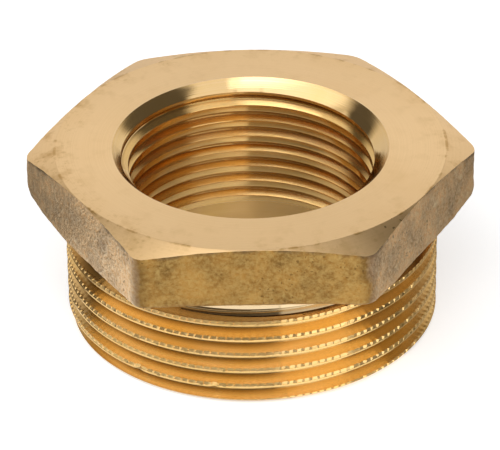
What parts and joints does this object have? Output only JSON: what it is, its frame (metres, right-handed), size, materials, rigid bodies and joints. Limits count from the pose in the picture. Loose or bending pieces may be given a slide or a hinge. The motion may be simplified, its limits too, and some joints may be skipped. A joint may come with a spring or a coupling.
{
  "type": "hex bushing",
  "caption": "Brass reducing bushing with a hexagon head, an undercut neck, a male pipe thread outside and a smaller female pipe thread through its middle.",
  "frame": {"origin": "on the axis, in the end face of the male thread, which the part stands on", "axes": "+Z along the axis towards the hexagon, with a flat of the hexagon square to -Y"},
  "size_m": [0.0572, 0.05, 0.0234],
  "materials": {
    "brass": "turned and forged, satin"
  },
  "bodies": {
    "root": {"hex_bushing": "brass"}
  },
  "joints": []
}
